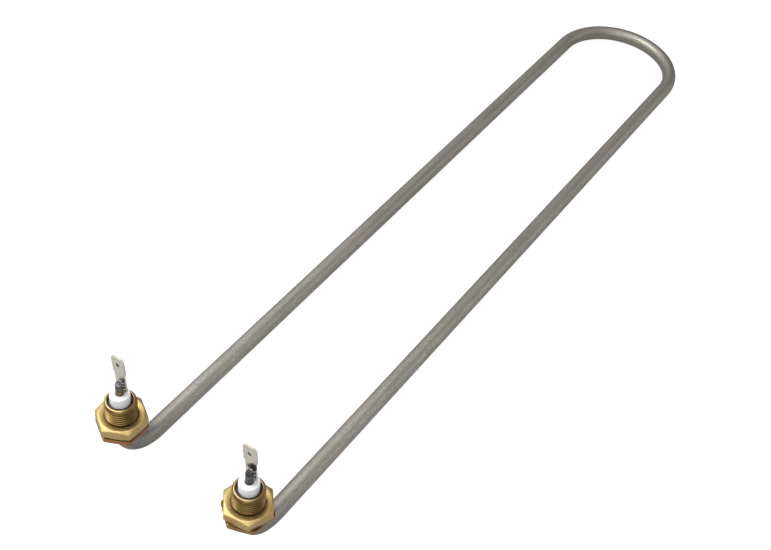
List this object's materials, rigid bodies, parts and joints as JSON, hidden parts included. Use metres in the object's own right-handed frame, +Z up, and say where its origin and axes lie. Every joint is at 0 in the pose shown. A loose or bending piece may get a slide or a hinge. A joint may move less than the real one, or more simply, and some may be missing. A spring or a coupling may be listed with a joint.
{
  "type": "tubular heating element",
  "caption": "U-shaped tubular heating element: a metal-sheathed resistance heater with both ends turned up through threaded brass necks and push-on tabs.",
  "frame": {"origin": "on the surface that the legs lie on, midway between the two necks and midway along the part, from the flanges' back corners to the outside of the bend", "axes": "+Z up, along the necks and the way the tabs are pushed on; +Y from the necks to the bend; +X to the right seen from the necks"},
  "size_m": [0.0849, 0.4349, 0.0669],
  "materials": {
    "sheath": "drawn stainless tube, satin, faint lengthwise scratches",
    "neck_brass": "turned brass, darkened by brazing",
    "nut_brass": "turned brass, bright",
    "braze_metal": "copper-coloured braze, uneven",
    "ceramic": "white steatite, smooth",
    "potting": "dark potting compound",
    "seal_rubber": "soft moisture plug",
    "pin_steel": "heat-darkened steel",
    "tab_nickel": "nickel-plated sheet, satin",
    "weld_metal": "weld beads, sooted",
    "resistance_wire": "oxidised resistance wire",
    "magnesia": "pressed powder"
  },
  "bodies": {
    "root": {"braze_ring_left": "braze_metal", "braze_ring_right": "braze_metal", "ceramic_insulator_left": "ceramic", "ceramic_insulator_right": "ceramic", "end_seal_left": "potting", "end_seal_right": "potting", "hex_nut_left": "nut_brass", "hex_nut_right": "nut_brass", "magnesia_core": "magnesia", "magnesia_fill": "magnesia", "moisture_seal_left": "seal_rubber", "moisture_seal_right": "seal_rubber", "resistance_coil": "resistance_wire", "sheath_tube": "sheath", "spade_tab_left": "tab_nickel", "spade_tab_right": "tab_nickel", "tab_weld_left": "weld_metal", "tab_weld_right": "weld_metal", "terminal_pin_left": "pin_steel", "terminal_pin_right": "pin_steel", "threaded_bushing_left": "neck_brass", "threaded_bushing_right": "neck_brass"}
  },
  "joints": []
}
